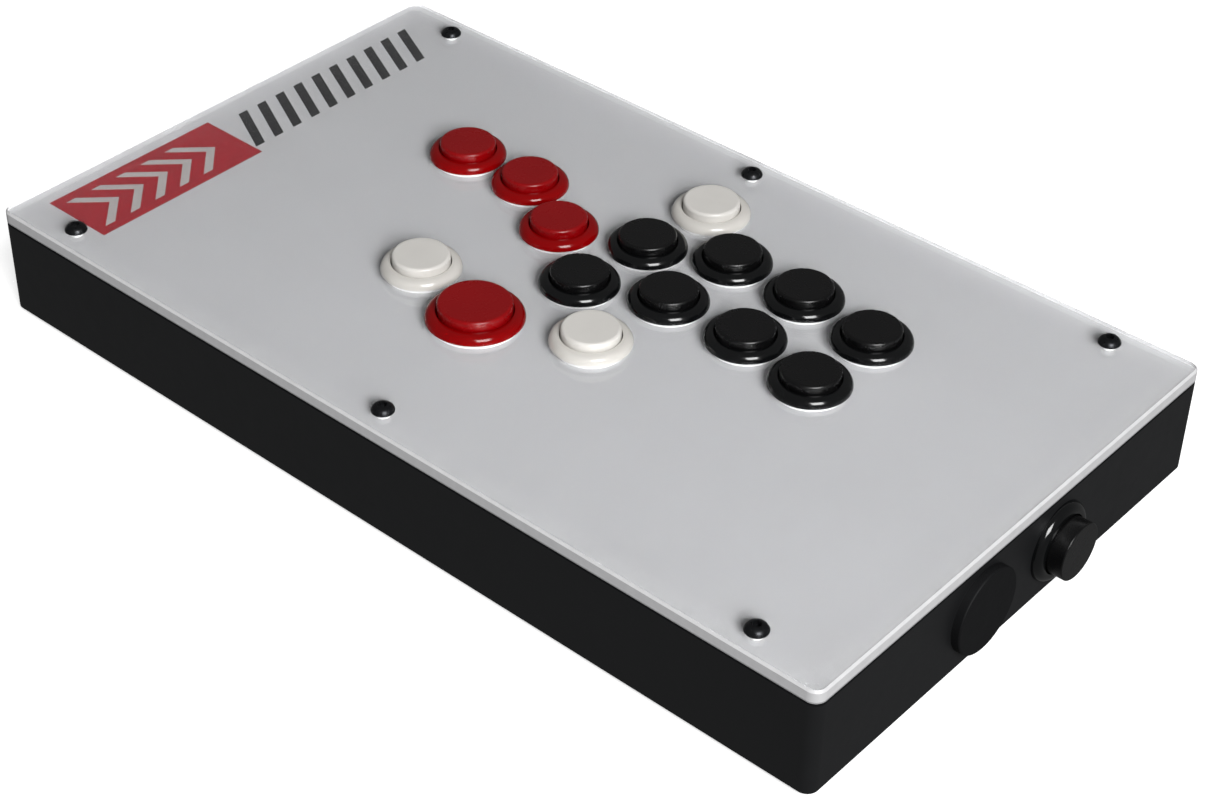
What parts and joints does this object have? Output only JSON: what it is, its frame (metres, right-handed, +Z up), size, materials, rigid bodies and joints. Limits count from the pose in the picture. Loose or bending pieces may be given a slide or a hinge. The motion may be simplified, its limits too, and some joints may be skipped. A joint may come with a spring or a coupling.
{
  "type": "arcade button panel",
  "caption": "Flat leverless arcade controller: clear-topped panel on a low black case, with round sprung pushbuttons, a side-wall button and a blanking plug.",
  "frame": {"origin": "centre of the underside of the base mat", "axes": "+X along the long side towards the wall with the side button, +Y towards the rear wall with the cable slot, +Z up out of the panel"},
  "size_m": [0.3584, 0.2, 0.0482],
  "materials": {
    "red_flange_plastic": "gloss moulded ABS",
    "red_plunger_plastic": "satin moulded ABS",
    "black_flange_plastic": "gloss moulded ABS",
    "black_plunger_plastic": "satin moulded ABS",
    "white_flange_plastic": "gloss moulded ABS",
    "white_plunger_plastic": "satin moulded ABS",
    "case_plastic": "fine textured matte moulding",
    "plug_plastic": "matte moulding",
    "clear_acrylic": "clear polished acrylic",
    "artwork_print": "printed film, white with a red and black graphic band",
    "mat_rubber": "soft foam rubber",
    "base_steel": "plain sheet steel",
    "black_oxide_steel": "black oxide",
    "brass": "machined",
    "switch_plastic": "moulded",
    "carrier_plastic": "moulded nylon",
    "circuit_board": "solder mask",
    "component_plastic": "moulded",
    "socket_metal": "stamped stainless"
  },
  "bodies": {
    "case": {"base_mat": "mat_rubber", "base_plate": "base_steel", "base_screws": "black_oxide_steel", "case_shell": "case_plastic", "thread_inserts": "brass", "artwork_sheet": "artwork_print", "acrylic_panel": "clear_acrylic", "panel_screws": "black_oxide_steel", "direction_switches": "switch_plastic", "jump_switch": "switch_plastic", "action_switches": "switch_plastic", "extra_switches": "switch_plastic", "side_switch": "switch_plastic", "switch_terminals": "brass", "switch_carriers": "carrier_plastic", "jump_carrier": "carrier_plastic", "ring_nuts": "carrier_plastic", "jump_nut": "carrier_plastic", "blanking_plug": "plug_plastic", "encoder_board": "circuit_board", "board_standoffs": "brass", "board_screws": "base_steel", "board_components": "component_plastic", "usb_socket": "socket_metal", "left_button_housing": "red_flange_plastic", "down_button_housing": "red_flange_plastic", "right_button_housing": "red_flange_plastic", "action_1_button_housing": "black_flange_plastic", "action_2_button_housing": "black_flange_plastic", "action_3_button_housing": "black_flange_plastic", "action_4_button_housing": "black_flange_plastic", "action_5_button_housing": "black_flange_plastic", "action_6_button_housing": "black_flange_plastic", "action_7_button_housing": "black_flange_plastic", "action_8_button_housing": "black_flange_plastic", "extra_1_button_housing": "white_flange_plastic", "extra_2_button_housing": "white_flange_plastic", "extra_3_button_housing": "white_flange_plastic", "jump_button_housing": "red_flange_plastic", "side_button_housing": "black_flange_plastic"},
    "left_button": {"left_button_plunger": "red_plunger_plastic"},
    "down_button": {"down_button_plunger": "red_plunger_plastic"},
    "right_button": {"right_button_plunger": "red_plunger_plastic"},
    "action_1_button": {"action_1_button_plunger": "black_plunger_plastic"},
    "action_2_button": {"action_2_button_plunger": "black_plunger_plastic"},
    "action_3_button": {"action_3_button_plunger": "black_plunger_plastic"},
    "action_4_button": {"action_4_button_plunger": "black_plunger_plastic"},
    "action_5_button": {"action_5_button_plunger": "black_plunger_plastic"},
    "action_6_button": {"action_6_button_plunger": "black_plunger_plastic"},
    "action_7_button": {"action_7_button_plunger": "black_plunger_plastic"},
    "action_8_button": {"action_8_button_plunger": "black_plunger_plastic"},
    "extra_1_button": {"extra_1_button_plunger": "white_plunger_plastic"},
    "extra_2_button": {"extra_2_button_plunger": "white_plunger_plastic"},
    "extra_3_button": {"extra_3_button_plunger": "white_plunger_plastic"},
    "jump_button": {"jump_button_plunger": "red_plunger_plastic"},
    "side_button": {"side_button_plunger": "black_plunger_plastic"}
  },
  "joints": [
    {"name": "left_button_press", "type": "slide", "parent": "case", "child": "left_button", "axis": [0, 0, -1], "range_m": [0, 0.0023], "stiffness_N_per_m": 300, "springref_m": -0.002},
    {"name": "down_button_press", "type": "slide", "parent": "case", "child": "down_button", "axis": [0, 0, -1], "range_m": [0, 0.0023], "stiffness_N_per_m": 300, "springref_m": -0.002},
    {"name": "right_button_press", "type": "slide", "parent": "case", "child": "right_button", "axis": [0, 0, -1], "range_m": [0, 0.0023], "stiffness_N_per_m": 300, "springref_m": -0.002},
    {"name": "action_1_button_press", "type": "slide", "parent": "case", "child": "action_1_button", "axis": [0, 0, -1], "range_m": [0, 0.0023], "stiffness_N_per_m": 300, "springref_m": -0.002},
    {"name": "action_2_button_press", "type": "slide", "parent": "case", "child": "action_2_button", "axis": [0, 0, -1], "range_m": [0, 0.0023], "stiffness_N_per_m": 300, "springref_m": -0.002},
    {"name": "action_3_button_press", "type": "slide", "parent": "case", "child": "action_3_button", "axis": [0, 0, -1], "range_m": [0, 0.0023], "stiffness_N_per_m": 300, "springref_m": -0.002},
    {"name": "action_4_button_press", "type": "slide", "parent": "case", "child": "action_4_button", "axis": [0, 0, -1], "range_m": [0, 0.0023], "stiffness_N_per_m": 300, "springref_m": -0.002},
    {"name": "action_5_button_press", "type": "slide", "parent": "case", "child": "action_5_button", "axis": [0, 0, -1], "range_m": [0, 0.0023], "stiffness_N_per_m": 300, "springref_m": -0.002},
    {"name": "action_6_button_press", "type": "slide", "parent": "case", "child": "action_6_button", "axis": [0, 0, -1], "range_m": [0, 0.0023], "stiffness_N_per_m": 300, "springref_m": -0.002},
    {"name": "action_7_button_press", "type": "slide", "parent": "case", "child": "action_7_button", "axis": [0, 0, -1], "range_m": [0, 0.0023], "stiffness_N_per_m": 300, "springref_m": -0.002},
    {"name": "action_8_button_press", "type": "slide", "parent": "case", "child": "action_8_button", "axis": [0, 0, -1], "range_m": [0, 0.0023], "stiffness_N_per_m": 300, "springref_m": -0.002},
    {"name": "extra_1_button_press", "type": "slide", "parent": "case", "child": "extra_1_button", "axis": [0, 0, -1], "range_m": [0, 0.0023], "stiffness_N_per_m": 300, "springref_m": -0.002},
    {"name": "extra_2_button_press", "type": "slide", "parent": "case", "child": "extra_2_button", "axis": [0, 0, -1], "range_m": [0, 0.0023], "stiffness_N_per_m": 300, "springref_m": -0.002},
    {"name": "extra_3_button_press", "type": "slide", "parent": "case", "child": "extra_3_button", "axis": [0, 0, -1], "range_m": [0, 0.0023], "stiffness_N_per_m": 300, "springref_m": -0.002},
    {"name": "jump_button_press", "type": "slide", "parent": "case", "child": "jump_button", "axis": [0, 0, -1], "range_m": [0, 0.0023], "stiffness_N_per_m": 300, "springref_m": -0.002},
    {"name": "side_button_press", "type": "slide", "parent": "case", "child": "side_button", "axis": [-1, 0, 0], "range_m": [0, 0.0035], "stiffness_N_per_m": 300, "springref_m": -0.002}
  ]
}
